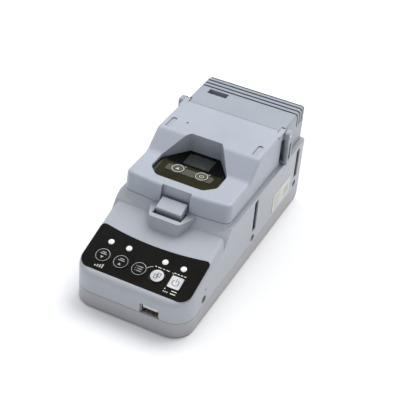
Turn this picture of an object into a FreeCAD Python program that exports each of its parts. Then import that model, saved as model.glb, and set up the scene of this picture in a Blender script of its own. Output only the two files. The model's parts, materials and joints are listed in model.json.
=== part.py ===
# Bench station that tests and calibrates one clip-on gas monitor under a windowed, latched lid.
# Everything is drawn in millimetres with x = 0 on the centre line, y from the front face towards
# the rear and z up from the table. save() moves each piece so the origin is at the base's centre.
import FreeCAD, Part
import math
import os

vector = FreeCAD.Vector
os.makedirs("parts", exist_ok=True)

# case
case_width = 86.0
case_length = 194.0
case_bottom = 0.6
parting_height = 13.2
ledge_height = 53.0
wall = 2.4
case_half = case_width / 2
front_corner_radius = 15.0
rear_corner_radius = 3.0
rear_chamfer_length = 6.0
rear_chamfer_height = 9.0
fitting_reach = 8.0
shift_to_origin = -(case_length + fitting_reach) / 2

# control panel
panel_front_height = 29.0
panel_slope = 18.0
panel_rounding = 5.0
overlay_half = 41.1
overlay_front = 4.7
overlay_rear_middle = 36.8
overlay_rear_side = 41.0
key_pitch = 13.66
key_row = 16.6
key_row_centre = -0.5
led_row = 28.4
key_radius = 5.5
key_gap = 0.35
power_key_half = 5.0
key_names = ["key_down", "key_up", "key_report", "key_copy", "key_power"]
led_columns = [0, 1, 3, 4]

# deck under the lid, and the lid
deck_height = 55.0
deck_half = 40.3
deck_front = 61.7
deck_rear = 150.4
deck_lean = 0.69
lid_lean = 0.11
front_bow = 2.9
lid_half = 40.0
lid_bottom = 55.4
lid_low_top = 69.3
lid_rise_start = 95.0
lid_rise_end = 110.5
lid_high_top = 81.3
lid_rear = 150.5
lid_side_rear = 148.0
lid_wall = 2.2
lid_rear_opening = 61.0
well_bottom = 67.0
recess_half = 11.0
recess_wall = 65.4

# hinge
hinge_y = 154.0
hinge_z = 78.0
hinge_pin_radius = 1.5
knuckle_inner = 36.4
ear_inner = 40.4
ear_outer = 44.5
knuckle_radius = 3.2
ear_front = 151.0
ear_foot_front = 152.3
ear_rear = 159.6
ear_top = 80.6
ear_rounding = 2.7
ear_cheek = 2.6
ear_slit = (154.2, 157.2, 57.0, 71.0)
ear_slit_depth = 2.7
ear_foot_thickness = 2.6

# latch
latch_y = 58.0
latch_z = 46.0
latch_pin_radius = 1.0
latch_half = 9.6
pocket_half = 10.9
pocket_front = 51.0
pocket_rear = 61.4
pocket_floor = 41.5
bracket_rear = 62.4

# rear housing
housing_front = 151.0
housing_neck_rear = 157.6
housing_neck_half = 36.0
housing_half = 39.2
housing_top = 80.6
housing_corner = 2.7
groove_rows = [178.8, 183.2, 187.6, 191.8]
groove_width = 1.9
groove_depth = 1.3
vent_left = -30.4
vent_right = -15.0
vent_front = 169.8
vent_rear = 175.8
vent_depth = 3.4
vent_wall = 1.2
groove_deep_part = 2.0

# gas monitor in its cradle; the bay is how far the monitor, cradle and window sit off centre
bay_x = -2.6
bay_y = -2.0
monitor_half = 27.0
monitor_front = 74.5
monitor_rear = 141.5
monitor_bottom = 41.5
monitor_split = 55.0
monitor_face = 65.7
monitor_key_x = 9.15
monitor_key_y = 91.0
sensor_y = 131.5
cradle_floor = 40.0

# boards and screws
board_bottom = 12.0
board_top = 13.6
board_thickness = 1.6
case_screw_places = [(-37.6, 18.0), (37.6, 18.0), (-37.6, 168.0), (37.6, 168.0)]
board_screw_places = [(-30.0, 30.0), (30.0, 30.0), (-30.0, 108.0), (30.0, 108.0)]
foot_places = [(-29.0, 22.0), (29.0, 22.0), (-29.0, 166.0), (29.0, 166.0)]

# side walls
side_slots = [(105.7, 24.2), (181.1, 25.4)]
slot_width = 6.0
slot_high = 50.4
slot_lip = 1.0
side_hole_radius = 3.0
side_holes = [(27.0, 19.2), (105.0, 18.0), (181.0, 19.4)]
side_mark = (28.7, 26.8)

# ports
usb_x = 16.8
usb_z = 17.3
inlet_x = -20.0
exhaust_x = -4.0
fitting_z = 36.0
spigot_radius = 3.0
jack_x = 27.0
link_x = 10.0
rear_port_z = 24.0
filter_x = 28.0
filter_y = 157.0


def box(x_low, x_high, y_low, y_high, z_low, z_high):
    size = (x_high - x_low, y_high - y_low, z_high - z_low)
    return Part.makeBox(size[0], size[1], size[2], vector(x_low, y_low, z_low))


def rod(radius, start, end):
    start = vector(*start)
    along = vector(*end) - start
    return Part.makeCylinder(radius, along.Length, start, along)


def post(radius, x, y, z_low, z_high):
    return rod(radius, (x, y, z_low), (x, y, z_high))


def fuse(shapes):
    return shapes[0].multiFuse(shapes[1:]).removeSplitter()


def mirrored(shape):
    return shape.mirror(vector(0, 0, 0), vector(1, 0, 0))


def group(shapes):
    return Part.makeCompound(shapes)


# The points where a rounded corner starts, bends most and ends.
def corner_points(before, here, after):
    corner = vector(here[0], here[1], 0)
    back = (vector(before[0], before[1], 0) - corner).normalize()
    ahead = (vector(after[0], after[1], 0) - corner).normalize()
    half_angle = back.getAngle(ahead) / 2
    radius = here[2]
    middle_way = (back + ahead).normalize()
    reach = radius / math.tan(half_angle)
    bend = radius / math.sin(half_angle) - radius
    return corner + back * reach, corner + middle_way * bend, corner + ahead * reach


# A closed outline through the corners (u, v, radius); place turns u and v into a point.
def outline(corners, place):
    count = len(corners)
    turns = []
    for index in range(count):
        after = corners[(index + 1) % count]
        turns.append(corner_points(corners[index - 1], corners[index], after))
    edges = []
    for index in range(count):
        start, middle, end = [place(point.x, point.y) for point in turns[index]]
        if corners[index][2] > 0:
            edges.append(Part.Arc(start, middle, end).toShape())
        following = turns[(index + 1) % count][0]
        following = place(following.x, following.y)
        if (following - end).Length > 1e-6:
            edges.append(Part.LineSegment(end, following).toShape())
    return Part.Wire(edges)


# A piece with the same side view all the way across.
def side_prism(corners, x_low, x_high):
    face = Part.Face(outline(corners, lambda y, z: vector(x_low, y, z)))
    return face.extrude(vector(x_high - x_low, 0, 0))


# A piece with the same plan view all the way up.
def plan_prism(corners, z_low, z_high):
    face = Part.Face(outline(corners, lambda x, y: vector(x, y, z_low)))
    return face.extrude(vector(0, 0, z_high - z_low))


def rounded_block(half, y_low, y_high, z_low, z_high, radius):
    corners = [(-half, y_low, radius), (half, y_low, radius), (half, y_high, radius), (-half, y_high, radius)]
    return plan_prism(corners, z_low, z_high)


# A hose: a ring swept along straight runs joined by round bends.
def hose(points, bend, outer, inner):
    edges = []
    last = vector(*points[0])
    for index in range(1, len(points) - 1):
        corner = vector(*points[index])
        back = (vector(*points[index - 1]) - corner).normalize()
        ahead = (vector(*points[index + 1]) - corner).normalize()
        half_angle = back.getAngle(ahead) / 2
        reach = bend / math.tan(half_angle)
        middle = corner + (back + ahead).normalize() * (bend / math.sin(half_angle) - bend)
        edges.append(Part.LineSegment(last, corner + back * reach).toShape())
        edges.append(Part.Arc(corner + back * reach, middle, corner + ahead * reach).toShape())
        last = corner + ahead * reach
    edges.append(Part.LineSegment(last, vector(*points[-1])).toShape())
    path = Part.Wire(edges)
    along = vector(*points[1]) - vector(*points[0])
    outer_ring = Part.Wire(Part.makeCircle(outer, vector(*points[0]), along))
    skin = path.makePipe(Part.Face(outer_ring))
    if inner <= 0:
        return skin
    inner_ring = Part.Wire(Part.makeCircle(inner, vector(*points[0]), along))
    return skin.cut(path.makePipe(Part.Face(inner_ring)))


# Moves a piece drawn flat, with z = 0 on the panel and y up the slope, onto the control panel.
def on_panel(shape):
    turn = FreeCAD.Rotation(vector(1, 0, 0), panel_slope)
    placed = shape.copy()
    placed.Placement = FreeCAD.Placement(vector(0, 0, panel_front_height), turn)
    return placed


# Moves a piece drawn about the centre line to the off-centre bay.
def in_bay(shape):
    placed = shape.copy()
    placed.translate(vector(bay_x, bay_y, 0))
    return placed


def edges_at(shape, height):
    return [edge for edge in shape.Edges if all(abs(vertex.Z - height) < 0.01 for vertex in edge.Vertexes)]


def key_x(column):
    return key_row_centre + key_pitch * (column - 2)


# Case

def case_plan(inset, z_low, z_high):
    half = case_half - inset
    front = front_corner_radius - inset
    rear = rear_corner_radius - inset
    corners = [(-half, inset, front), (half, inset, front)]
    corners += [(half, case_length - inset, rear), (-half, case_length - inset, rear)]
    return plan_prism(corners, z_low, z_high)


# The outside (inset 0) or the cavity of the upper case without the deck.
def case_block(inset):
    rise = math.tan(math.radians(panel_slope))
    drop = inset / math.cos(math.radians(panel_slope))
    low = parting_height + 0.15 - inset
    front_top = panel_front_height - drop
    slope = [(-1, low, 0), (-1, front_top - rise, 0), (66, front_top + 66 * rise, 0), (66, low, 0)]
    wedge = side_prism(slope, -case_half, case_half)
    wedge = wedge.common(case_plan(inset, low, ledge_height + 3))
    if inset == 0:
        rim = [edge for edge in wedge.Edges if on_panel_rim(edge)]
        wedge = wedge.makeFillet(panel_rounding, rim)
    wedge = wedge.cut(box(-50, 50, 50, 70, ledge_height - inset, 80))
    ramp = [(45, low, 0), (45, 30, 0), (51 + inset, 39, 0), (59 + inset, 49.2, 4)]
    ramp += [(64.5 + inset, ledge_height - inset, 3)]
    ramp += [(case_length, ledge_height - inset, 0), (case_length, low, 0)]
    rear = side_prism(ramp, -case_half, case_half).common(case_plan(inset, low, ledge_height + 3))
    return fuse([wedge, rear])


def on_panel_rim(edge):
    rise = math.tan(math.radians(panel_slope))
    for vertex in edge.Vertexes:
        if abs(vertex.Z - (panel_front_height + rise * vertex.Y)) > 0.01 or vertex.Y > 66:
            return False
    middle = edge.valueAt((edge.FirstParameter + edge.LastParameter) / 2)
    return middle.y < 60


def bowed_outline(front, half, rear, height):
    edge_front = front + front_bow * (half / lid_half) ** 2
    left = vector(-half, edge_front, height)
    right = vector(half, edge_front, height)
    arc = Part.Arc(left, vector(0, front, height), right).toShape()
    back_right = vector(half, rear, height)
    back_left = vector(-half, rear, height)
    edges = [arc, Part.LineSegment(right, back_right).toShape()]
    edges += [Part.LineSegment(back_right, back_left).toShape(), Part.LineSegment(back_left, left).toShape()]
    return Part.Wire(edges)


# A block whose bowed front face leans back, as the deck and the lid have.
def leaning_block(inset, half, rear, z_low, z_high, lean):
    wires = []
    for height in (z_low, z_high):
        front = deck_front + (height - deck_height) * lean + inset * 1.2
        wires.append(bowed_outline(front, half - inset, rear - inset, height))
    solid = Part.makeLoft(wires, True, True)
    corners = [edge for edge in solid.Edges if is_front_corner(edge, rear)]
    return solid.makeFillet(max(4.5 - inset, 1.5), corners)


def is_front_corner(edge, rear):
    low, high = edge.Vertexes[0].Point, edge.Vertexes[-1].Point
    return abs(high.z - low.z) > 5 and max(low.y, high.y) < rear - 30


def bracket_block():
    wires = []
    for height, front, front_half, rear_half in [(42.0, 46.6, 11.0, 17.0), (54.4, 47.2, 11.6, 17.6)]:
        corners = [(-front_half, front, 3.5), (front_half, front, 3.5)]
        corners += [(rear_half, bracket_rear, 0.5), (-rear_half, bracket_rear, 0.5)]
        wires.append(outline(corners, lambda x, y, z=height: vector(x, y, z)))
    return Part.makeLoft(wires, True, True)


def overlay_plan(inset, low, high):
    half = overlay_half + inset
    corners = [(-half, overlay_front - inset, 8), (half, overlay_front - inset, 8)]
    corners += [(half, overlay_rear_side + 6, 0), (-half, overlay_rear_side + 6, 0)]
    sheet = plan_prism(corners, low, high)
    sag = overlay_rear_side - overlay_rear_middle
    radius = (overlay_half ** 2 + sag ** 2) / (2 * sag)
    centre = overlay_rear_middle + inset + radius
    sheet = sheet.cut(Part.makeCylinder(radius, high - low + 2, vector(0, centre, low - 1)))
    tips = []
    for edge in sheet.Edges:
        ends = [vertex.Point for vertex in edge.Vertexes]
        upright = len(ends) == 2 and abs(ends[0].z - ends[1].z) > (high - low) * 0.9
        if upright and ends[0].y > overlay_rear_middle + 1:
            tips.append(edge)
    return sheet.makeFillet(3.0, tips)


def make_upper_case():
    outside = fuse([case_block(0), leaning_block(0, deck_half, deck_rear, 44, deck_height, deck_lean)])
    outside = fuse([outside, bracket_block()])
    deck_hollow = leaning_block(wall, deck_half, deck_rear, 40, deck_height - wall, deck_lean)
    cavity = fuse([case_block(wall), deck_hollow])
    case = outside.cut(cavity)
    back = pocket_rear + 2.2
    pocket_walls = [box(-12.6, 12.6, 49.0, back, pocket_floor - 2, 44.3)]
    pocket_walls.append(box(-12.6, 12.6, 52, back, 44, 47.2))
    pocket_walls.append(box(-12.6, 12.6, pocket_rear, back, 46, deck_height - 0.6))
    case = fuse([case] + pocket_walls)
    case = case.cut(box(-pocket_half, pocket_half, pocket_front, pocket_rear, pocket_floor, 60))
    case = case.cut(rod(latch_pin_radius, (-12.4, latch_y, latch_z), (12.4, latch_y, latch_z)))
    case = case.cut(in_bay(box(-31.5, 31.5, 71.5, 145.5, 48, 60)))
    case = case.cut(box(-33, 33, 154.5, 187, 48, 56))
    return cut_upper_case_holes(add_case_bosses(case))


def add_case_bosses(case):
    bosses = [post(3.5, x, y, parting_height + 0.15, 24) for x, y in case_screw_places]
    bores = [post(1.3, x, y, parting_height, 20) for x, y in case_screw_places]
    return fuse([case] + bosses).cut(group(bores))


def cut_upper_case_holes(case):
    holes = [on_panel(overlay_plan(0.15, -0.35, 9))]
    for column in range(4):
        holes.append(on_panel(post(key_radius + key_gap, key_x(column), key_row, -1.1, 3)))
    holes.append(on_panel(square_plan(key_gap, -1.1, 3)))
    for column in range(5):
        holes.append(on_panel(post(2.6, key_x(column), key_row, -6, 1)))
    for column in led_columns:
        holes.append(on_panel(post(1.7, key_x(column), led_row, -6, 1)))
    usb = [(-7.25, -3.7, 0.3), (7.25, -3.7, 0.3), (7.25, 3.75, 0.3), (-7.25, 3.75, 0.3)]
    usb_face = Part.Face(outline(usb, lambda x, z: vector(usb_x + x, -1, usb_z + z)))
    holes.append(usb_face.extrude(vector(0, 6, 0)))
    for side in (-1, 1):
        holes += side_openings(side)
    holes.append(rod(5.2, (inlet_x, 189, fitting_z), (inlet_x, 195, fitting_z)))
    holes.append(rod(5.2, (exhaust_x, 189, fitting_z), (exhaust_x, 195, fitting_z)))
    holes.append(rod(4.6, (jack_x, 189, rear_port_z), (jack_x, 195, rear_port_z)))
    holes.append(box(link_x - 6.3, link_x + 6.3, 189, 195, rear_port_z - 5.8, rear_port_z + 5.8))
    return case.cut(group(holes))


def side_openings(side):
    tools = []
    low, high = sorted([side * (case_half + 1), side * (case_half - wall - 2)])
    for row, slot_low in side_slots:
        rounding = 1.2
        left, right = row - slot_width / 2, row + slot_width / 2
        corners = [(left, slot_low, rounding), (right, slot_low, rounding)]
        corners += [(right, slot_high, rounding), (left, slot_high, rounding)]
        tools.append(side_prism(corners, low, high))
        near, far = sorted([side * (case_half - slot_lip), side * (case_half - wall - 1)])
        tools.append(box(near, far, left - 2, right + 2, slot_low - 1, slot_high + 0.6))
    for y, z in side_holes:
        tools.append(rod(side_hole_radius, (low, y, z), (high, y, z)))
    y, z = side_mark
    tools.append(rod(0.9, (side * (case_half + 1), y, z), (side * (case_half - 0.9), y, z)))
    return tools


def make_lower_case():
    outside = case_plan(0, case_bottom, parting_height - 0.15)
    rear = case_length
    chamfer = [(rear - rear_chamfer_length, case_bottom - 1, 0), (rear + 1, case_bottom - 1, 0)]
    chamfer += [(rear + 1, case_bottom + rear_chamfer_height + 1.5, 0)]
    outside = outside.cut(side_prism(chamfer, -50, 50))
    base_edges = [edge for edge in outside.Edges if is_base_edge(edge)]
    outside = outside.makeFillet(1.0, base_edges)
    floor = case_bottom + 2.2
    cavity = case_plan(2.2, floor, parting_height + 1)
    cavity = cavity.cut(side_prism([(180, 0, 0), (rear + 1, 0, 0), (rear + 1, 14.5, 0)], -50, 50))
    case = outside.cut(cavity)
    bosses = [post(3.5, x, y, floor - 1, parting_height - 0.15) for x, y in case_screw_places]
    bosses += [post(3.0, x, y, floor - 1, board_bottom) for x, y in board_screw_places]
    case = fuse([case] + [boss.common(case_plan(1, 0, 20)) for boss in bosses])
    holes = [post(1.3, x, y, 0, 20) for x, y in case_screw_places]
    holes += [post(2.9, x, y, 0, 3.0) for x, y in case_screw_places]
    holes += [post(1.05, x, y, 6, 20) for x, y in board_screw_places]
    holes += [post(6.1, x, y, 0, case_bottom + 0.6) for x, y in foot_places]
    return case.cut(group(holes))


def is_base_edge(edge):
    low = all(abs(vertex.Z - case_bottom) < 0.01 for vertex in edge.Vertexes)
    ends = [vertex.Y for vertex in edge.Vertexes]
    return low and min(ends) < 170


def make_case_screws():
    screws = []
    for x, y in case_screw_places:
        head = post(2.6, x, y, 1.5, 2.95).cut(box(x - 1.8, x + 1.8, y - 0.35, y + 0.35, 1.4, 2.0))
        head = head.cut(box(x - 0.35, x + 0.35, y - 1.8, y + 1.8, 1.4, 2.0))
        screws.append(fuse([head, post(1.25, x, y, 2.9, 19)]))
    return group(screws)


def make_feet():
    return group([post(6.0, x, y, 0, case_bottom + 0.58) for x, y in foot_places])


def make_base_label():
    return rounded_block(21, 70, 118, case_bottom - 0.2, case_bottom, 2)


def make_side_label():
    corners = [(138.5, 18, 1.2), (170, 18, 1.2), (170, 33.5, 1.2), (138.5, 33.5, 1.2)]
    return side_prism(corners, case_half, case_half + 0.25)


# Control panel

def make_control_overlay():
    sheet = overlay_plan(0, -0.3, 0.3)
    holes = [post(key_radius + key_gap, key_x(column), key_row, -1, 1) for column in range(4)]
    holes.append(square_plan(key_gap, -1, 1))
    holes += [post(2.15, key_x(column), led_row, -1, 1) for column in led_columns]
    return on_panel(sheet.cut(group(holes)))


def make_round_key(column):
    x = key_x(column)
    cap = post(key_radius, x, key_row, -0.25, 0.6)
    rim = [edge for edge in cap.Edges if edge.Vertexes[0].Z > 0.5 and len(edge.Vertexes) == 1]
    cap = cap.makeFillet(0.35, rim)
    return on_panel(fuse([cap, post(2.2, x, key_row, -4.1, 0)]))


def square_plan(grow, low, high):
    x = key_x(4)
    half = power_key_half + grow
    corners = [(x - half, key_row - half, 1.2), (x + half, key_row - half, 1.2)]
    corners += [(x + half, key_row + half, 1.2), (x - half, key_row + half, 1.2)]
    return plan_prism(corners, low, high)


def make_square_key():
    cap = square_plan(0, -0.25, 0.6)
    cap = cap.makeFillet(0.35, [edge for edge in cap.Edges if all(v.Z > 0.5 for v in edge.Vertexes)])
    return on_panel(fuse([cap, post(2.2, key_x(4), key_row, -4.1, 0)]))


def make_led_windows():
    windows = []
    for column in led_columns:
        x = key_x(column)
        windows.append(fuse([post(2.1, x, led_row, -0.3, 0.4), post(1.6, x, led_row, -4.4, 0)]))
    return on_panel(group(windows))


def make_keypad_board():
    return on_panel(box(-38, 38, 9, 38, -6.9, -5.3))


def make_key_domes():
    return on_panel(group([post(2.8, key_x(column), key_row, -5.3, -4.85) for column in range(5)]))


def make_status_leds():
    return on_panel(group([box(key_x(c) - 1, key_x(c) + 1, led_row - 0.8, led_row + 0.8, -5.3, -4.6)
                           for c in led_columns]))


def make_keypad_ribbon():
    path = [(38.5, 14.0, 0), (38.5, 30.0, 4), (33.0, 31.6, 0)]
    path += [(33.0, 31.9, 0), (38.9, 30.3, 4.3), (38.9, 14.0, 0)]
    return side_prism(path, -8, 8)


# Boards and ports

def make_main_board():
    corners = [(-38.4, 3.2, 12), (38.4, 3.2, 12), (38.4, 118, 2), (-38.4, 118, 2)]
    board = plan_prism(corners, board_bottom, board_top)
    holes = [post(4.0, x, y, 10, 16) for x, y in case_screw_places]
    holes += [post(1.2, x, y, 10, 16) for x, y in board_screw_places]
    return board.cut(group(holes))


def make_board_screws():
    screws = []
    for x, y in board_screw_places:
        screws.append(fuse([post(1.0, x, y, 6.5, 14), post(2.2, x, y, board_top, 14.9)]))
    return group(screws)


def make_board_chips():
    top = board_top
    chips = [box(-14, 2, 52, 68, top, top + 1.2), box(8, 18, 54, 62, top, top + 1.1)]
    chips += [box(-30, -22, 60, 74, top, top + 1.4), box(10, 20, 72, 90, top, top + 1.6)]
    return group(chips)


def make_board_capacitors():
    return group([post(3.2, x, y, board_top, board_top + 9) for x, y in [(-24, 92), (-15, 92), (-6, 92)]])


def make_board_connectors():
    top = board_top
    return group([box(-9, 9, 36, 41.5, top, top + 0.35), box(-34, -20, 78, 84, top, top + 6),
                  box(24, 35, 88, 94, top, top + 6)])


def make_usb_shell():
    outer = box(usb_x - 6.75, usb_x + 6.75, 0.8, 17.0, usb_z - 3.35, usb_z + 3.3)
    inner = box(usb_x - 6.4, usb_x + 6.4, 0, 16.6, usb_z - 3.0, usb_z + 2.95)
    return outer.cut(inner)


def make_usb_tongue():
    tongue = box(usb_x - 5.6, usb_x + 5.6, 1.6, 16.5, usb_z + 0.2, usb_z + 2.2)
    return fuse([tongue, box(usb_x - 6.2, usb_x + 6.2, 12.5, 16.5, usb_z - 2.8, usb_z + 2.8)])


def make_power_jack():
    z = rear_port_z
    body = fuse([box(jack_x - 5.5, jack_x + 5.5, 178, 191.2, z - 6, z + 5.5),
                 rod(4.4, (jack_x, 191, z), (jack_x, 194.6, z))])
    body = body.cut(rod(3.1, (jack_x, 183, z), (jack_x, 196, z)))
    return fuse([body, rod(1.0, (jack_x, 182, z), (jack_x, 193.6, z))])


def make_link_port():
    x, z = link_x, rear_port_z
    outer = box(x - 6.0, x + 6.0, 176, 194.4, z - 5.5, z + 5.5)
    corners = [(-4.3, -4.0, 0), (4.3, -4.0, 0), (4.3, 2.2, 0), (2.6, 4.0, 0), (-2.6, 4.0, 0), (-4.3, 2.2, 0)]
    mouth = Part.Face(outline(corners, lambda u, v: vector(x + u, 185, z + v))).extrude(vector(0, 12, 0))
    return fuse([outer.cut(mouth), box(x - 2.6, x + 2.6, 184.5, 193, z - 1.5, z + 1.5)])


# Gas circuit in the rear of the case

def make_gas_fitting(x):
    collar = rod(4.9, (x, 186, fitting_z), (x, 194.2, fitting_z))
    hexagon = []
    for corner in range(6):
        angle = math.radians(60 * corner)
        hexagon.append((6.6 * math.cos(angle), 6.6 * math.sin(angle), 0))
    face = Part.Face(outline(hexagon, lambda u, v: vector(x + u, 194.1, fitting_z + v)))
    nut = face.extrude(vector(0, 1.9, 0))
    end = case_length + fitting_reach
    spigot = rod(spigot_radius, (x, 195, fitting_z), (x, end, fitting_z))
    bore = rod(1.6, (x, 183, fitting_z), (x, end + 1, fitting_z))
    neck = rod(3.0, (x, 183.2, fitting_z), (x, 187, fitting_z))
    return fuse([collar, nut, spigot, neck]).cut(bore)


def make_manifold():
    block = box(-30, 14, 169, 183.2, 30, 42)
    channels = [rod(1.6, (inlet_x, 174, fitting_z), (inlet_x, 184, fitting_z)),
                rod(1.6, (exhaust_x, 174, fitting_z), (exhaust_x, 184, fitting_z)),
                rod(1.6, (-26, 174, fitting_z), (10, 174, fitting_z)),
                rod(1.6, (8 + bay_x, 168, fitting_z), (8 + bay_x, 175, fitting_z))]
    return block.cut(group(channels))


def make_valve_bodies():
    return group([box(x - 6, x + 6, 170, 182, 42, 47) for x in (-22, -7, 7.5)])


def make_valve_coils():
    coils = []
    for x in (-22, -7, 7.5):
        coils.append(fuse([box(x - 5.5, x + 5.5, 170.5, 181.5, 47, 62), post(3.0, x, 176, 61, 64)]))
    return group(coils)


def make_pump_head():
    head = box(-34, -20, 131, 153, 8, 30)
    ports = [rod(1.9, (-27, 152.5, 24), (-27, 158, 24)), rod(1.9, (-27, 152.5, 14), (-27, 158, 14))]
    return fuse([head] + ports)


def make_pump_motor():
    can = rod(9.5, (-19.9, 142, 19), (12, 142, 19))
    return fuse([can, rod(3.0, (11.5, 142, 19), (14, 142, 19))])


def make_filter():
    bowl = post(8.0, filter_x, filter_y, 4, 30)
    return fuse([bowl, post(5.0, filter_x, filter_y, 29, 32), post(2.0, filter_x, filter_y, 31, 38)])


def make_gas_hoses():
    runs = [[(-27, 155.2, 24), (-27, 163, 24), (-27, 163, 36), (-27, 168.9, 36)],
            [(8 + bay_x, 146.4, 44), (8 + bay_x, 158, 44), (8 + bay_x, 158, 36), (8 + bay_x, 168.9, 36)],
            [(filter_x, filter_y, 35.5), (filter_x, filter_y, 44), (filter_x, 176, 44), (filter_x, 176, 36),
             (14.1, 176, 36)]]
    return group([hose(run, 3.5, 2.9, 2.05) for run in runs])


def make_sounder():
    return fuse([post(9.5, -22, 176, 66.5, 74.5), post(1.5, -22, 176, 74, 75.2)])


def make_power_leads():
    leads = []
    for side in (-1, 1):
        near, lane, socket = jack_x + 2 * side, 38 + side, 30 + 2 * side
        path = [(near, 177.3, 27), (lane, 168.5, 27), (lane, 124, 27), (socket, 92, 20.8), (socket, 92, 19.8)]
        leads.append(hose(path, 0.6, 0.6, 0))
    return group(leads)


# Cradle and monitor

def make_cradle():
    tray = rounded_block(31.2, 71.8, 145.2, 37.5, deck_height + 1.2, 6)
    flange = rounded_block(34, 70, 147, deck_height + 0.02, deck_height + 1.2, 7)
    tray = fuse([tray, flange]).cut(rounded_block(28.0, 73.5, 142.5, cradle_floor, 60, 8))
    tray = tray.cut(rounded_block(10, 72.0, 79, 50, 60, 3))
    nozzle = rod(1.9, (8, 144, 44), (8, 151, 44))
    tray = fuse([tray, nozzle]).cut(rod(1.2, (8, 141, 44), (8, 152, 44)))
    return tray.cut(box(-6, 6, 128, 136, 37, 41))


def make_link_window():
    return box(-5.95, 5.95, 128.05, 135.95, 37.6, 39.6)


def make_docking_board():
    return box(-24, 24, 118, 142, 33.6, 33.6 + board_thickness)


def make_monitor_back():
    radius = 9
    shell = rounded_block(monitor_half, monitor_front, monitor_rear, monitor_bottom, monitor_split, radius)
    shell = shell.makeFillet(3.0, edges_at(shell, monitor_bottom))
    hollow = rounded_block(monitor_half - 2, monitor_front + 2, monitor_rear - 2, 43.5, 60, radius - 2)
    return shell.cut(hollow)


def make_monitor_front():
    radius = 9
    low = monitor_split + 0.05
    shell = rounded_block(monitor_half, monitor_front, monitor_rear, low, monitor_face, radius)
    shell = shell.makeFillet(2.5, edges_at(shell, monitor_face))
    inner = monitor_half - 2
    hollow = rounded_block(inner, monitor_front + 2, monitor_rear - 2, 50, monitor_face - 2, radius - 2)
    shell = shell.cut(hollow)
    shell = shell.cut(box(-12.0, 12.0, 99.3, 119, 60, monitor_face + 1))
    keys = [post(2.4, x, monitor_key_y, 60, monitor_face + 1) for x in (-monitor_key_x, monitor_key_x)]
    return shell.cut(group(keys + [post(5, 0, sensor_y, 60, monitor_face + 1)]))


def make_monitor_bezel():
    corners = [(-22.5, 77.5, 7), (22.5, 77.5, 7), (22.5, 122, 5), (-22.5, 122, 5)]
    plate = plan_prism(corners, monitor_face, monitor_face + 0.9)
    plate = plate.cut(rounded_block(11.8, 99.5, 118.8, 60, 70, 1))
    keys = [post(5.1, x, monitor_key_y, 60, 70) for x in (-monitor_key_x, monitor_key_x)]
    return plate.cut(group(keys))


def make_monitor_key_strip():
    low, high = monitor_face + 0.9, monitor_face + 1.3
    pads = [rounded_block(17.6, 86.9, 94.0, low, high, 1.6)]
    pads += [post(5.4, x, monitor_key_y, low, high) for x in (-monitor_key_x, monitor_key_x)]
    holes = [post(5.1, x, monitor_key_y, 60, 70) for x in (-monitor_key_x, monitor_key_x)]
    return fuse(pads).cut(group(holes))


def make_monitor_key(side):
    x = side * monitor_key_x
    cap = post(4.7, x, monitor_key_y, monitor_face + 0.6, monitor_face + 1.7)
    cap = cap.makeFillet(0.4, edges_at(cap, monitor_face + 1.7))
    return fuse([cap, post(2.0, x, monitor_key_y, monitor_face - 4.8, monitor_face + 1)])


def make_monitor_screen():
    return box(-11.4, 11.4, 99.9, 118.4, monitor_face - 1.5, monitor_face + 0.2)


def make_monitor_window():
    return rounded_block(11.7, 99.6, 118.7, monitor_face + 0.3, monitor_face + 0.85, 0.9)


def make_monitor_sensor():
    cell = post(4.9, 0, sensor_y, 58.2, monitor_face)
    return fuse([cell, post(8.5, 0, sensor_y, monitor_face, monitor_face + 0.7)])


def make_monitor_board():
    return box(-22, 22, 79, 124, 56.5, 57.6)


def make_monitor_battery():
    return rod(5.8, (-15, 110, 50), (15, 110, 50))


def make_monitor_clip():
    plate = rounded_block(7, 84, 126, 40.25, 41.25, 3)
    return fuse([plate, rounded_block(6, 112, 120, 41.2, 41.5, 1)])


# Lid

# The outside (inset 0) or the hollow of the lid.
def lid_block(inset):
    low = lid_bottom if inset == 0 else lid_bottom - 5
    profile = [(55, low, 0), (55, lid_low_top - 0.4 - inset, 0)]
    profile += [(lid_rise_start + inset * 0.4, lid_low_top - inset, 9)]
    profile += [(lid_rise_end + inset * 0.6, lid_high_top - inset, 6)]
    profile += [(lid_rear - inset, lid_high_top - inset, 0)]
    profile += [(lid_rear - inset, low, 0)]
    slab = side_prism(profile, -(lid_half - inset), lid_half - inset)
    return slab.common(leaning_block(inset, lid_half, lid_rear + 5, 46, 90, lid_lean))


def is_lid_rim(edge):
    middle = edge.valueAt((edge.FirstParameter + edge.LastParameter) / 2)
    at_side = abs(abs(middle.x) - lid_half) < 0.01
    at_front = middle.y < deck_front + 9
    return (at_side or at_front) and middle.z > lid_low_top - 1.0 and middle.y < lid_rear - 0.1


def window_plan(grow, z_low, z_high):
    half = 25.4 + grow
    right = [(18.0 + grow * 0.5, 72.5 - grow, 6.0), (half, 80.0, 5.0), (half, 95.0 + grow * 0.4, 4.0)]
    right.append((11.8 + grow * 0.5, 113.8 + grow, 2.0))
    left = [(-x, y, radius) for x, y, radius in reversed(right)]
    opening = plan_prism(right + left, z_low, z_high)
    opening.translate(vector(bay_x, 0, 0))
    return opening


def latch_recess(grow):
    return box(-recess_half - grow, recess_half + grow, 50, recess_wall + grow, 50, 75)


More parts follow.
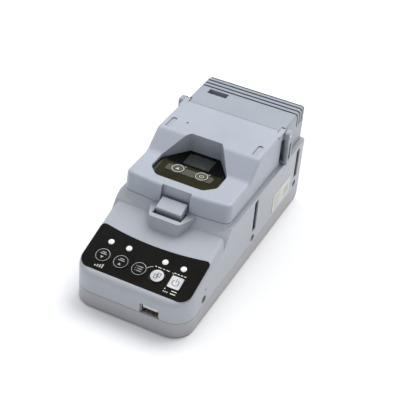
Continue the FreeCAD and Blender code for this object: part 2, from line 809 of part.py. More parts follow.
def make_lid_shell():
    solid = lid_block(0)
    rim = [edge for edge in solid.Edges if is_lid_rim(edge)]
    solid = solid.makeFillet(2.6, rim)
    well = solid.common(window_plan(2.2, well_bottom, 90))
    recess_walls = solid.common(latch_recess(2.0)).cut(box(-20, 20, 50, 90, 50, lid_bottom))
    shell = fuse([solid.cut(lid_block(lid_wall)), well, recess_walls])
    shell = shell.cut(window_plan(0, well_bottom - 10, 90)).cut(latch_recess(0))
    shell = shell.cut(box(-37.6, 37.6, 140, 160, 50, lid_rear_opening))
    for side in (-1, 1):
        low, high = sorted([side * (knuckle_inner - 0.3), side * 45])
        shell = shell.cut(box(low, high, lid_side_rear, 160, 50, 90))
    knuckle = box(knuckle_inner, lid_half, 143, hinge_y, hinge_z - knuckle_radius, lid_high_top - 0.3)
    barrel = rod(knuckle_radius, (knuckle_inner, hinge_y, hinge_z), (lid_half, hinge_y, hinge_z))
    knuckle = fuse([knuckle, barrel])
    shell = fuse([shell, knuckle, mirrored(knuckle)])
    shell = shell.cut(rod(hinge_pin_radius + 0.06, (-50, hinge_y, hinge_z), (50, hinge_y, hinge_z)))
    return cut_lid_marks(shell)


def cut_lid_marks(shell):
    marks = []
    for x in (-33.7, 33.7):
        corners = [(x - 1.9, 112.5, 1.8), (x + 1.9, 112.5, 1.8), (x + 1.9, 126, 1.8), (x - 1.9, 126, 1.8)]
        marks.append(plan_prism(corners, lid_high_top - 0.8, 90))
    marks.append(post(0.8, -23.3, 124.3, lid_high_top - 1.2, 90))
    return shell.cut(group(marks))


def make_lid_pad():
    return rounded_block(20, 120, 138, 66.5, lid_high_top - lid_wall, 4)


def make_hinge_pins():
    inner, outer = knuckle_inner + 0.2, ear_outer - 0.2
    pin = rod(hinge_pin_radius - 0.02, (inner, hinge_y, hinge_z), (outer, hinge_y, hinge_z))
    return group([pin, mirrored(pin)])


# Latch

def make_latch_button():
    profile = [(54.6, 44.2, 1.5), (61.0, 43.4, 2.0), (60.6, 56.4, 0.4), (63.4, 57.4, 0.6), (63.4, 61.2, 0.8)]
    profile += [(53.0, 57.9, 0.9), (54.2, 52.0, 2.0)]
    button = side_prism(profile, -latch_half, latch_half)
    sides = [edge for edge in button.Edges if is_latch_side(edge)]
    button = button.makeFillet(0.6, sides)
    button = button.cut(rod(latch_pin_radius + 0.05, (-10, latch_y, latch_z), (10, latch_y, latch_z)))
    return button.cut(box(-3.2, 3.2, 55.5, 61.5, 42, 50))


def is_latch_side(edge):
    middle = edge.valueAt((edge.FirstParameter + edge.LastParameter) / 2)
    return abs(abs(middle.x) - latch_half) < 0.01 and middle.z > 57.0


def make_latch_pin():
    reach = pocket_half + 1.4
    return rod(latch_pin_radius - 0.02, (-reach, latch_y, latch_z), (reach, latch_y, latch_z))


def make_latch_spring():
    coils = []
    for x in (-2.2, -1.1, 0, 1.1, 2.2):
        coils.append(Part.makeTorus(1.75, 0.35, vector(x, latch_y, latch_z), vector(1, 0, 0)))
    return group(coils)


# Rear housing

def housing_block(inset, low):
    neck = housing_neck_half - inset
    half = housing_half - inset
    front = housing_front + inset
    rear = case_length - inset
    corners = [(-neck, front, 0), (neck, front, 0), (neck, housing_neck_rear + inset, 0)]
    rounding = max(housing_corner - inset, 0.5)
    corners += [(half, housing_neck_rear + inset, 0), (half, rear, rounding)]
    corners += [(-half, rear, rounding), (-half, housing_neck_rear + inset, 0)]
    corners += [(-neck, housing_neck_rear + inset, 0)]
    block = plan_prism(corners, low, housing_top - inset)
    top = housing_top - inset
    rim = [edge for edge in block.Edges if is_housing_rim(edge, top, housing_neck_rear + inset)]
    block = block.makeFillet(max(housing_corner - 0.2 - inset, 0.4), rim)
    front_rim = [edge for edge in edges_at(block, top) if abs(edge.Vertexes[0].Y - front) < 0.01]
    front_rim = [edge for edge in front_rim if abs(edge.Vertexes[-1].Y - front) < 0.01]
    return block.makeFillet(2.4, front_rim)


def is_housing_rim(edge, top, rear_of_neck):
    ends = [vertex.Point for vertex in edge.Vertexes]
    flat = all(abs(end.z - top) < 0.01 for end in ends)
    rows = [end.y for end in ends]
    return flat and min(rows) >= rear_of_neck - 0.01 and max(rows) > rear_of_neck + 1


def make_rear_housing():
    low = ledge_height + 0.2
    outside = housing_block(0, low)
    hollow = housing_block(2.6, low - 3)
    shell = outside.cut(hollow)
    grooves = []
    for row in groove_rows:
        grooves.append(box(-50, 50, row - groove_width / 2, row + groove_width / 2, 70, 90))
    ring = group(grooves).common(outside.cut(housing_block(groove_depth, low)))
    shell = shell.cut(ring)
    edge = vent_wall
    tray = box(vent_left - edge, vent_right + edge, vent_front - edge, vent_rear + edge,
               housing_top - vent_depth - edge, housing_top - 1)
    shell = fuse([shell, tray])
    shell = shell.cut(box(vent_left, vent_right, vent_front, vent_rear, housing_top - vent_depth, 90))
    for row in groove_rows[:2]:
        near, far = row - groove_width / 2, row + groove_width / 2
        shell = shell.cut(box(vent_left, vent_right, near, far, housing_top - groove_deep_part, 90))
    return fuse([shell, make_ear(), mirrored(make_ear())])


def make_ear():
    low = ledge_height + 0.2
    profile = [(ear_foot_front, low, 0), (ear_foot_front, 68.5, 1.0), (ear_front, 71.0, 1.0)]
    profile += [(ear_front, ear_top, ear_rounding), (ear_rear, ear_top, ear_rounding), (ear_rear, low, 0)]
    ear = side_prism(profile, ear_inner, ear_outer)
    ear = ear.makeFillet(0.8, [edge for edge in ear.Edges if is_ear_edge(edge)])
    slit_front, slit_rear, slit_low, slit_high = ear_slit
    ear = ear.cut(box(ear_outer - ear_slit_depth, ear_outer + 1, slit_front, slit_rear, slit_low, slit_high))
    notch_low, notch_high = low + ear_foot_thickness, hinge_z - 3.4
    notch_rear = slit_front - 0.5
    ear = ear.cut(box(ear_inner - 1, ear_outer - ear_cheek, ear_front - 1, notch_rear, notch_low, notch_high))
    foot = box(housing_neck_half - 1, case_half, ear_foot_front, ear_rear, low, notch_low)
    web = box(housing_half - 1, ear_inner + 0.2, housing_neck_rear, ear_rear, low, hinge_z + 0.5)
    ear = fuse([ear, foot, web])
    return ear.cut(rod(hinge_pin_radius, (30, hinge_y, hinge_z), (50, hinge_y, hinge_z)))


def is_ear_edge(edge):
    middle = edge.valueAt((edge.FirstParameter + edge.LastParameter) / 2)
    return abs(middle.x - ear_outer) < 0.01 and middle.z > 56


def save(shape, node):
    placed = shape.copy()
    placed.translate(vector(0, shift_to_origin, 0))
    placed.exportStep("parts/" + node + ".step")
    print(node, len(placed.Solids), round(placed.Volume, 1), placed.isValid())


save(make_upper_case(), "upper_case")
save(make_lower_case(), "lower_case")
save(make_case_screws(), "case_screws")
save(make_feet(), "feet")
save(make_base_label(), "base_label")
save(make_side_label(), "side_label")
save(make_control_overlay(), "control_overlay")
for column in range(4):
    save(make_round_key(column), key_names[column])
save(make_square_key(), key_names[4])
save(make_led_windows(), "led_windows")
save(make_keypad_board(), "keypad_board")
save(make_key_domes(), "key_domes")
save(make_status_leds(), "status_leds")
save(make_keypad_ribbon(), "keypad_ribbon")
save(make_main_board(), "main_board")
save(make_board_screws(), "board_screws")
save(make_board_chips(), "board_chips")
save(make_board_capacitors(), "board_capacitors")
save(make_board_connectors(), "board_connectors")
save(make_usb_shell(), "usb_shell")
save(make_usb_tongue(), "usb_tongue")
save(make_power_jack(), "power_jack")
save(make_link_port(), "link_port")
save(make_gas_fitting(inlet_x), "gas_inlet")
save(make_gas_fitting(exhaust_x), "gas_exhaust")
save(make_manifold(), "gas_manifold")
save(make_valve_bodies(), "valve_bodies")
save(make_valve_coils(), "valve_coils")
save(make_pump_head(), "pump_head")
save(make_pump_motor(), "pump_motor")
save(make_filter(), "inlet_filter")
save(make_gas_hoses(), "gas_hoses")
save(make_sounder(), "sounder")
save(make_power_leads(), "power_leads")
save(in_bay(make_cradle()), "monitor_cradle")
save(in_bay(make_link_window()), "link_window")
save(in_bay(make_docking_board()), "docking_board")
save(in_bay(make_monitor_back()), "monitor_back")
save(in_bay(make_monitor_front()), "monitor_front")
save(in_bay(make_monitor_bezel()), "monitor_bezel")
save(in_bay(make_monitor_key_strip()), "monitor_key_strip")
save(in_bay(make_monitor_key(-1)), "monitor_key_left")
save(in_bay(make_monitor_key(1)), "monitor_key_right")
save(in_bay(make_monitor_screen()), "monitor_screen")
save(in_bay(make_monitor_window()), "monitor_window")
save(in_bay(make_monitor_sensor()), "monitor_sensor")
save(in_bay(make_monitor_board()), "monitor_board")
save(in_bay(make_monitor_battery()), "monitor_battery")
save(in_bay(make_monitor_clip()), "monitor_clip")
save(make_lid_shell(), "lid_shell")
save(make_lid_pad(), "lid_pad")
save(make_hinge_pins(), "hinge_pins")
save(make_latch_button(), "latch_button")
save(make_latch_pin(), "latch_pin")
save(make_latch_spring(), "latch_spring")
save(make_rear_housing(), "rear_housing")
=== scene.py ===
import json
import math
import bpy
import numpy as np
from mathutils import Matrix, Vector


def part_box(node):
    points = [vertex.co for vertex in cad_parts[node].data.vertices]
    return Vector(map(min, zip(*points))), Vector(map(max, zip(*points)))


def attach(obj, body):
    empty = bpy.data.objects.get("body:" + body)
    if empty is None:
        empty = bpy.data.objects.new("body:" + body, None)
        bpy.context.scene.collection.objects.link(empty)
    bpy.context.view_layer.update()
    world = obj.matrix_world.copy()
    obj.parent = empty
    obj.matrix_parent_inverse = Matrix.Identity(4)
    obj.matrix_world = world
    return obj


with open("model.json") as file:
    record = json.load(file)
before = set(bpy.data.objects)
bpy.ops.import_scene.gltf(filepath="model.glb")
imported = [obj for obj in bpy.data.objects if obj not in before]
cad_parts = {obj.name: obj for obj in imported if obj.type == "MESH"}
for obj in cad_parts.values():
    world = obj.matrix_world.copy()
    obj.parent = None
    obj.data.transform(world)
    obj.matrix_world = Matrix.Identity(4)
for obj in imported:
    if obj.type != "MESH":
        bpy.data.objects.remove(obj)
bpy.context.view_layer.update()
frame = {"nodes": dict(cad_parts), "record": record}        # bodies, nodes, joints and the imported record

scene = bpy.context.scene
nodes = frame["nodes"]
mm = 0.001


def boxOf(node):
    low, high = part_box(node)
    return np.array(low), np.array(high)


caseLow, caseHigh = boxOf("lower_case")
frontFace = caseLow[1]        # places on the top are measured back from here


stageLook = dict(azimuth=23.67, elevation=37.2, roll=5.08, distance=0.80685, target=(0.0, -0.0038, 0.030),
                 lens=101.96, shiftX=0.0134, shiftY=0.0264, floorSize=6.0, floorColour=(0.93, 0.93, 0.93))


def buildStage(look):
    a, e, roll = [math.radians(look[k]) for k in ("azimuth", "elevation", "roll")]
    back = Vector((math.sin(a) * math.cos(e), -math.cos(a) * math.cos(e), math.sin(e)))
    right = Vector((math.cos(a), math.sin(a), 0))
    up = back.cross(right)
    camX = math.cos(roll) * right + math.sin(roll) * up
    camY = -math.sin(roll) * right + math.cos(roll) * up
    cameraData = bpy.data.cameras.new("studioCamera")
    camera = bpy.data.objects.new("studioCamera", cameraData)
    scene.collection.objects.link(camera)
    turn = Matrix((camX, camY, back)).transposed().to_4x4()
    turn.translation = Vector(look["target"]) + back * look["distance"]
    camera.matrix_world = turn
    cameraData.lens, cameraData.sensor_width = look["lens"], 36.0
    cameraData.shift_x, cameraData.shift_y = look["shiftX"], look["shiftY"]
    cameraData.clip_start, cameraData.clip_end = 0.01, 20
    scene.camera = camera
    half = look["floorSize"] / 2
    mesh = bpy.data.meshes.new("floor")
    mesh.from_pydata([(-half, -half, 0), (half, -half, 0), (half, half, 0), (-half, half, 0)], [], [(0, 1, 2, 3)])
    floor = bpy.data.objects.new("floor", mesh)
    scene.collection.objects.link(floor)
    paint = bpy.data.materials.new("paleFloor")
    paint.use_nodes = True
    shader = paint.node_tree.nodes["Principled BSDF"]
    shader.inputs["Base Color"].default_value = (*look["floorColour"], 1)
    shader.inputs["Roughness"].default_value = 0.9
    mesh.materials.append(paint)


lightLook = dict(worldColour=(0.93, 0.96, 1.0), worldStrength=0.56,
                 lamps=[dict(name="keyLamp", place=(0.3, 0.85, 1.65), size=1.3, power=25, colour=(1.0, 0.99, 0.97)),
                        dict(name="sideLamp", place=(1.7, 0.1, 0.6), size=1.2, power=0.9, colour=(1.0, 0.91, 0.78)),
                        dict(name="fillLamp", place=(-1.0, 0.3, 1.2), size=1.5, power=9, colour=(0.93, 0.96, 1.0))])


def buildLights(look):
    world = bpy.data.worlds.new("studioAir")
    world.use_nodes = True
    sky = world.node_tree.nodes["Background"]
    sky.inputs["Color"].default_value = (*look["worldColour"], 1)
    sky.inputs["Strength"].default_value = look["worldStrength"]
    scene.world = world
    for lamp in look["lamps"]:
        data = bpy.data.lights.new(lamp["name"], "AREA")
        data.energy, data.size, data.color = lamp["power"], lamp["size"], lamp["colour"]
        item = bpy.data.objects.new(lamp["name"], data)
        item.location = lamp["place"]
        item.rotation_euler = (Vector((0, 0, 0.03)) - Vector(lamp["place"])).to_track_quat("-Z", "Y").to_euler()
        scene.collection.objects.link(item)
    scene.view_settings.view_transform = "Standard"


buildStage(stageLook)
buildLights(lightLook)
print("stage and lights ready")


class Weave:
    # a small hand for wiring shader nodes
    def __init__(self, name):
        self.material = bpy.data.materials.new(name)
        self.material.use_nodes = True
        self.tree = self.material.node_tree
        self.shader = self.tree.nodes["Principled BSDF"]
        self.place = self.add("ShaderNodeTexCoord").outputs["Object"]

    def add(self, kind, **settings):
        node = self.tree.nodes.new(kind)
        for key, value in settings.items():
            setattr(node, key, value)
        return node

    def feed(self, socket, value):
        if isinstance(value, bpy.types.NodeSocket):
            self.tree.links.new(value, socket)
        else:
            socket.default_value = value

    def noise(self, scale, detail=3.0, rough=0.55, stretch=None):
        place = self.place
        if stretch:
            bend = self.add("ShaderNodeMapping")
            self.feed(bend.inputs["Vector"], place)
            bend.inputs["Scale"].default_value = stretch
            place = bend.outputs["Vector"]
        node = self.add("ShaderNodeTexNoise")
        self.feed(node.inputs["Vector"], place)
        node.inputs["Scale"].default_value = scale
        node.inputs["Detail"].default_value = detail
        node.inputs["Roughness"].default_value = rough
        return node.outputs["Fac"]

    def cells(self, scale, feature="F1"):
        node = self.add("ShaderNodeTexVoronoi", feature=feature)
        self.feed(node.inputs["Vector"], self.place)
        node.inputs["Scale"].default_value = scale
        return node.outputs["Distance"]

    def fit(self, value, low, high, newLow, newHigh):
        node = self.add("ShaderNodeMapRange")
        for index, item in enumerate((value, low, high, newLow, newHigh)):
            self.feed(node.inputs[index], item)
        return node.outputs[0]

    def sums(self, kind, first, second):
        node = self.add("ShaderNodeMath", operation=kind)
        self.feed(node.inputs[0], first)
        self.feed(node.inputs[1], second)
        return node.outputs[0]

    def blend(self, amount, first, second):
        node = self.add("ShaderNodeMix", data_type="RGBA")
        self.feed(node.inputs[0], amount)
        self.feed(node.inputs[6], first)
        self.feed(node.inputs[7], second)
        return node.outputs[2]

    def bump(self, height, depth, strength=1.0, under=None):
        node = self.add("ShaderNodeBump")
        self.feed(node.inputs["Height"], height)
        node.inputs["Distance"].default_value = depth
        node.inputs["Strength"].default_value = strength
        if under is not None:
            self.feed(node.inputs["Normal"], under)
        return node.outputs["Normal"]

    # Ambient occlusion; the plastic finishes use it to paint shade into creases and recesses.
    def crease(self, reach):
        node = self.add("ShaderNodeAmbientOcclusion", samples=4)
        node.inputs["Distance"].default_value = reach
        return node.outputs["AO"]


def shade(colour, factor):
    return tuple(min(1.0, part * factor) for part in colour[:3]) + (1.0,)


def mouldedPlastic(name, colour, roughness=0.42, grain=0.00003, grainSize=1700, mottle=0.05, creaseShade=0.25, wear=0.3,
                   hollowShade=0.45):
    w = Weave(name)
    broad = w.noise(22, 4)
    fine = w.noise(900, 2)
    base = w.blend(w.fit(broad, 0.3, 0.7, 0, 1), shade(colour, 1 - mottle), shade(colour, 1 + mottle))
    base = w.blend(w.fit(fine, 0.35, 0.65, 0, 0.25), base, shade(colour, 1 - mottle * 1.6))
    scuff = w.fit(w.noise(160, 5, 0.6, (1, 0.12, 1)), 0.66, 0.74, 0, wear)
    base = w.blend(scuff, base, shade(colour, 1.12))
    # Painted shade: in tight creases, where shade falls, the colour darkens toward 0.45 of itself.
    creaseShadeMask = w.fit(w.crease(0.004), 0.35, 0.95, creaseShade, 0)
    base = w.blend(creaseShadeMask, base, shade(colour, 0.45))
    # Painted shade: in wider recesses, where shade falls, the colour darkens further, toward 0.42 of itself.
    base = w.blend(w.fit(w.crease(0.018), 0.3, 0.85, hollowShade, 0), base, shade(colour, 0.42))
    w.feed(w.shader.inputs["Base Color"], base)
    w.feed(w.shader.inputs["Roughness"], w.sums("ADD", w.fit(broad, 0.3, 0.7, roughness - 0.05, roughness + 0.06),
                                                w.sums("MULTIPLY", scuff, 0.2)))
    skin = w.bump(w.noise(grainSize, 4, 0.6), grain, 0.6)
    w.feed(w.shader.inputs["Normal"], w.bump(w.noise(14, 2), 0.0004, 0.25, skin))
    return w.material


def printedFilm(name, colour, roughness=0.3):
    w = Weave(name)
    smear = w.noise(60, 5, 0.65)
    specks = w.fit(w.cells(420), 0.0, 0.08, 0.35, 0)
    base = w.blend(w.fit(smear, 0.35, 0.7, 0, 1), shade(colour, 0.8), shade(colour, 1.5))
    base = w.blend(specks, base, shade(colour, 2.2))
    w.feed(w.shader.inputs["Base Color"], base)
    w.feed(w.shader.inputs["Roughness"], w.fit(smear, 0.35, 0.7, roughness - 0.06, roughness + 0.14))
    w.feed(w.shader.inputs["Normal"], w.bump(w.noise(2600, 2), 0.00002, 0.5))
    w.shader.inputs["Specular IOR Level"].default_value = 0.06
    return w.material


def softRubber(name, colour, roughness=0.75):
    w = Weave(name)
    broad = w.noise(70, 4)
    base = w.blend(w.fit(broad, 0.3, 0.7, 0, 1), shade(colour, 0.85), shade(colour, 1.2))
    w.feed(w.shader.inputs["Base Color"], base)
    w.feed(w.shader.inputs["Roughness"], w.fit(broad, 0.3, 0.7, roughness - 0.08, roughness + 0.08))
    w.feed(w.shader.inputs["Normal"], w.bump(w.noise(2200, 3), 0.00006, 0.7))
    return w.material


def workedMetal(name, colour, roughness=0.28, stretch=(1, 0.06, 1), tarnish=0.25):
    w = Weave(name)
    lines = w.noise(900, 3, 0.6, stretch)
    blotch = w.noise(90, 4)
    base = w.blend(w.fit(lines, 0.3, 0.7, 0, 1), shade(colour, 0.88), shade(colour, 1.08))
    base = w.blend(w.fit(blotch, 0.5, 0.75, 0, tarnish), base, shade(colour, 0.6))
    w.feed(w.shader.inputs["Base Color"], base)
    w.shader.inputs["Metallic"].default_value = 1.0
    w.feed(w.shader.inputs["Roughness"], w.fit(lines, 0.3, 0.7, roughness - 0.08, roughness + 0.12))
    w.feed(w.shader.inputs["Normal"], w.bump(lines, 0.00002, 0.5))
    return w.material


def circuitBoard(name, colour):
    w = Weave(name)
    bricks = w.add("ShaderNodeTexBrick", offset=0.35, squash=0.6)
    w.feed(bricks.inputs["Vector"], w.place)
    bricks.inputs["Scale"].default_value = 160
    bricks.inputs["Mortar Size"].default_value = 0.035
    for index, factor in ((1, 0.9), (2, 1.0), (3, 1.7)):
        bricks.inputs[index].default_value = shade(colour, factor)
    pads = w.fit(w.cells(330), 0.0, 0.14, 1, 0)
    base = w.blend(pads, bricks.outputs["Color"], (0.55, 0.5, 0.3, 1))
    w.feed(w.shader.inputs["Base Color"], base)
    w.shader.inputs["Roughness"].default_value = 0.35
    w.feed(w.shader.inputs["Normal"], w.bump(bricks.outputs["Fac"], 0.00004, 0.5))
    return w.material


def displayGlassCell(name, colour):
    w = Weave(name)
    streak = w.noise(40, 3)
    grid = w.add("ShaderNodeTexChecker")
    w.feed(grid.inputs["Vector"], w.place)
    grid.inputs["Scale"].default_value = 1800
    grid.inputs["Color1"].default_value = shade(colour, 0.97)
    grid.inputs["Color2"].default_value = shade(colour, 1.03)
    base = w.blend(w.fit(streak, 0.3, 0.7, 0, 0.5), grid.outputs["Color"], shade(colour, 0.86))
    w.feed(w.shader.inputs["Base Color"], base)
    w.shader.inputs["Roughness"].default_value = 0.22
    w.shader.inputs["Specular IOR Level"].default_value = 0.1
    return w.material


def clearLens(name, colour, roughness=0.06):
    w = Weave(name)
    smear = w.noise(50, 4)
    w.feed(w.shader.inputs["Roughness"], w.fit(smear, 0.4, 0.7, roughness, roughness + 0.1))
    w.shader.inputs["Base Color"].default_value = shade(colour, 1)
    w.shader.inputs["Transmission Weight"].default_value = 0.985
    w.shader.inputs["IOR"].default_value = 1.46
    w.shader.inputs["Specular IOR Level"].default_value = 0.15
    return w.material


finishes = {
    "case_upper": mouldedPlastic("upperCaseShell", (0.41, 0.43, 0.47)),
    "case_lower": mouldedPlastic("lowerCaseShell", (0.39, 0.385, 0.41)),
    # The lid and the latch take deeper painted shade in their recesses.
    "case_lid": mouldedPlastic("lidShell", (0.39, 0.42, 0.475), hollowShade=0.62),
    "latch_light": mouldedPlastic("latchPlastic", (0.41, 0.44, 0.49), roughness=0.36, hollowShade=0.62),
    "cradle_dark": mouldedPlastic("cradlePlastic", (0.022, 0.023, 0.026), mottle=0.15),
    "monitor_shell": mouldedPlastic("monitorShell", (0.045, 0.046, 0.036), mottle=0.12),
    "monitor_olive": printedFilm("monitorFace", (0.019, 0.018, 0.007)),
    "monitor_strip": softRubber("monitorStrip", (0.062, 0.062, 0.044)),
    "monitor_sensor": mouldedPlastic("sensorCap", (0.03, 0.03, 0.03), mottle=0.2),
    "lcd_grey": displayGlassCell("displayCell", (0.018, 0.027, 0.019)),
    "screen_glass": clearLens("displayLens", (0.8, 0.86, 0.82)),
    "panel_black": printedFilm("panelFilm", (0.0055, 0.0048, 0.0036)),
    "key_grey": printedFilm("keyFilm", (0.0065, 0.0058, 0.0045)),
    "key_light": printedFilm("lightKeySkirt", (0.014, 0.013, 0.011)),
    # The lamp windows take only light painted shade in their creases.
    "led_window": mouldedPlastic("lampWindow", (0.86, 0.87, 0.88), roughness=0.3, creaseShade=0.1),
    "label_white": mouldedPlastic("labelFilm", (0.60, 0.60, 0.56), roughness=0.4, grain=0.00001),
    "foot_rubber": softRubber("footRubber", (0.03, 0.03, 0.03)),
    "pad_rubber": softRubber("padFoam", (0.05, 0.05, 0.05)),
    "board_green": circuitBoard("greenBoard", (0.02, 0.12, 0.06)),
    "port_steel": workedMetal("portSteel", (0.72, 0.72, 0.73)),
    "zinc_screw": workedMetal("zincScrew", (0.62, 0.62, 0.6)),
    "pin_steel": workedMetal("pinSteel", (0.78, 0.78, 0.78), roughness=0.2, stretch=(0.06, 1, 1)),
    "spring_steel": workedMetal("springSteel", (0.6, 0.6, 0.58)),
    "fitting_brass": workedMetal("fittingBrass", (0.62, 0.48, 0.22), stretch=(1, 1, 1)),
    "manifold_alu": workedMetal("manifoldAluminium", (0.68, 0.69, 0.71)),
    "motor_steel": workedMetal("motorCan", (0.5, 0.5, 0.52), stretch=(0.06, 1, 1)),
    "port_black": mouldedPlastic("portPlastic", (0.02, 0.02, 0.022), mottle=0.2),
    "chip_black": mouldedPlastic("chipEpoxy", (0.02, 0.02, 0.022), mottle=0.2),
    "connector_ivory": mouldedPlastic("connectorNylon", (0.6, 0.56, 0.45)),
    "pump_grey": mouldedPlastic("pumpPlastic", (0.1, 0.105, 0.115)),
    "filter_body": mouldedPlastic("filterPlastic", (0.7, 0.72, 0.74)),
    "hose_clear": mouldedPlastic("hosePlastic", (0.6, 0.62, 0.6), roughness=0.25),
    "capacitor_sleeve": mouldedPlastic("capacitorSleeve", (0.01, 0.014, 0.05), roughness=0.2),
    "battery_sleeve": mouldedPlastic("batterySleeve", (0.02, 0.08, 0.03), roughness=0.2),
    "ribbon_amber": printedFilm("ribbonFilm", (0.35, 0.15, 0.02)),
    "lead_red": softRubber("leadSleeve", (0.35, 0.02, 0.015)),
    "led_chip": mouldedPlastic("ledChip", (0.75, 0.75, 0.65)),
    "ir_window": printedFilm("infraredWindow", (0.03, 0.004, 0.006), roughness=0.12),
}
# Two nodes differ in shade from the other nodes of their slot.
nodeFinishes = {
    "rear_housing": mouldedPlastic("housingShell", (0.325, 0.35, 0.395)),
    "usb_tongue": mouldedPlastic("tonguePlastic", (0.7, 0.7, 0.68), roughness=0.35),
}
slotOf = {entry["node"]: entry["material_slot"] for entry in frame["record"]["subparts"]}
for nodeName, item in nodes.items():
    finish = nodeFinishes.get(nodeName, finishes[slotOf[nodeName]])
    if not item.material_slots:
        item.data.materials.append(finish)
    for slot in item.material_slots:
        slot.material = finish
print("finishes on", len(nodes), "nodes")


# Builds one closed mesh from several grids. A grid is rows x columns x 3; its columns close on
# themselves, and its rows either close too or end in flat caps.
def meshPiece(name, grids, finish, body, smooth=False):
    places, faces, start = [], [], 0
    for points, rowsClose in grids:
        rows, columns = points.shape[:2]
        index = start + np.arange(rows * columns).reshape(rows, columns)
        here, right = index, np.roll(index, -1, axis=1)
        if rowsClose:
            ahead, aheadRight = np.roll(index, -1, axis=0), np.roll(right, -1, axis=0)
        else:
            here, right, ahead, aheadRight = index[:-1], right[:-1], index[1:], np.roll(index, -1, axis=1)[1:]
        quads = np.stack((here, right, aheadRight, ahead), axis=-1).reshape(-1, 4)
        skin = [tuple(quad) for quad in quads.tolist()]
        if not rowsClose:
            skin += [tuple(index[0][::-1].tolist()), tuple(index[-1].tolist())]
        flat = points.reshape(-1, 3)
        if volumeOf(flat, quads - start) < 0:
            skin = [face[::-1] for face in skin]
        places.append(flat)
        faces += skin
        start += rows * columns
    mesh = bpy.data.meshes.new(name)
    mesh.from_pydata(np.concatenate(places).tolist(), [], faces)
    mesh.polygons.foreach_set("use_smooth", np.full(len(mesh.polygons), smooth))
    mesh.materials.append(finish)
    mesh.update()
    piece = bpy.data.objects.new(name, mesh)
    scene.collection.objects.link(piece)
    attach(piece, body)
    return piece


# A sixth of the sum of a . (b x c) over both triangles of each quad, taken about the middle point.
def volumeOf(points, quads):
    centred = points - points.mean(axis=0)
    a, b, c, d = [centred[quads[:, k]] for k in range(4)]
    return (np.cross(b, c) * a).sum() + (np.cross(c, d) * a).sum()


# A thin raised print: two edge curves (u, v) joined across, from level n0 up to level n1.
def band(shape, place, n0, n1):
    left, right, closes = shape
    corners = ((left, n1), (right, n1), (right, n0), (left, n0))
    rings = [place(edge[:, 0], edge[:, 1], np.full(len(edge), level)) for edge, level in corners]
    return np.stack(rings, axis=1), closes


# u = cu + r cos t, v = cv + r sin t for r at both edges of the ring.
def ringShape(cu, cv, radius, width, count=72):
    t = np.linspace(0, 2 * math.pi, count, endpoint=False)
    way = np.stack((np.cos(t), np.sin(t)), axis=1)
    middle = np.array((cu, cv))
    return middle + way * (radius + width / 2), middle + way * (radius - width / 2), True


def arcShape(cu, cv, radius, width, start, end, count=40):
    t = np.radians(np.linspace(start, end, count))
    way = np.stack((np.cos(t), np.sin(t)), axis=1)
    middle = np.array((cu, cv))
    return middle + way * (radius + width / 2), middle + way * (radius - width / 2), False


# A filled oval with exponent p: v = +-h (1 - |u/w|^p)^(1/p); p = 2 is a disc, p = 9 nearly a square.
def patchShape(cu, cv, width, height, power, count=48):
    u = -np.cos(np.linspace(0.03, math.pi - 0.03, count))
    v = (1 - np.abs(u) ** power) ** (1 / power)
    left = np.stack((cu + u * width, cv + v * height), axis=1)
    right = np.stack((cu + u * width, cv - v * height), axis=1)
    return left, right, False


def barShape(u0, v0, u1, v1, width):
    ends = np.array(((u0, v0), (u1, v1)))
    along = (ends[1] - ends[0]) / np.linalg.norm(ends[1] - ends[0])
    side = np.array((-along[1], along[0])) * width / 2
    return ends + side, ends - side, False


# An arrow head with its point up for lean = 1 and down for lean = -1.
def arrowShape(cu, cv, size, lean):
    v = cv + lean * np.array((-0.5, 0.5)) * size
    half = np.array((0.62, 0.02)) * size
    return np.stack((cu - half, v), axis=1), np.stack((cu + half, v), axis=1), False


# A band between two rounded rectangles, each the superellipse u = w c^(2/p), v = h s^(2/p).
def frameShape(cu, cv, outer, inner, power=14, count=160):
    t = np.linspace(0, 2 * math.pi, count, endpoint=False)
    c, s = np.cos(t), np.sin(t)
    way = np.stack((np.sign(c) * np.abs(c) ** (2 / power), np.sign(s) * np.abs(s) ** (2 / power)), axis=1)
    return np.array((cu, cv)) + way * np.array(outer), np.array((cu, cv)) + way * np.array(inner), True


# A profile of (radius r, height h) turned about an axis: centre + h along + r (cos t a + sin t b).
def spun(profile, centre, along, closes, count=48):
    along = np.array(along) / np.linalg.norm(along)
    a = np.cross(along, (0.31, 0.67, 0.23))
    a = a / np.linalg.norm(a)
    b = np.cross(along, a)
    t = np.linspace(0, 2 * math.pi, count, endpoint=False)
    ring = np.cos(t)[:, None] * a + np.sin(t)[:, None] * b
    radius, height = np.array(profile, dtype=float).T
    points = np.array(centre) + height[:, None, None] * along + radius[:, None, None] * ring
    return points, closes


# r = R cos t, h = H sin t for a quarter turn gives a dome.
def domeProfile(radius, height, steps=9):
    t = np.linspace(0, math.pi / 2 - 0.02, steps)
    return [(radius, -height * 0.5)] + list(zip(radius * np.cos(t), height * np.sin(t)))


# The panel's slope comes from the way that its keys are pressed.
panelLook = dict(filmHalf=0.3 * mm, capLevel=0.6 * mm, printRise=0.03 * mm, sink=0.04 * mm)
pressAxis = [j["axis"] for j in frame["record"]["behaviour"]["joints"] if j["child"] == "down_key"][0]
sine, cosine = pressAxis[1], -pressAxis[2]
filmLow, filmHigh = boxOf("control_overlay")
filmFront = (filmLow[1] - frontFace + panelLook["filmHalf"] * sine) / cosine
panelRise = filmLow[2] - filmFront * sine + panelLook["filmHalf"] * cosine


def onPanel(u, v, n):
    return np.stack((u, frontFace + v * cosine - n * sine, panelRise + v * sine + n * cosine), axis=-1)


def keyAt(node):
    low, high = boxOf(node)
    half = (high[0] - low[0]) / 2
    return (low[0] + high[0]) / 2, (low[1] - frontFace + panelLook["capLevel"] * sine) / cosine + half


def printPanel(name, shapes, onKey, finish, body, above=0.0):
    level = (panelLook["capLevel"] if onKey else panelLook["filmHalf"]) + above
    grids = [band(shape, onPanel, level - panelLook["sink"], level + panelLook["printRise"]) for shape in shapes]
    return meshPiece(name, grids, finish, body)


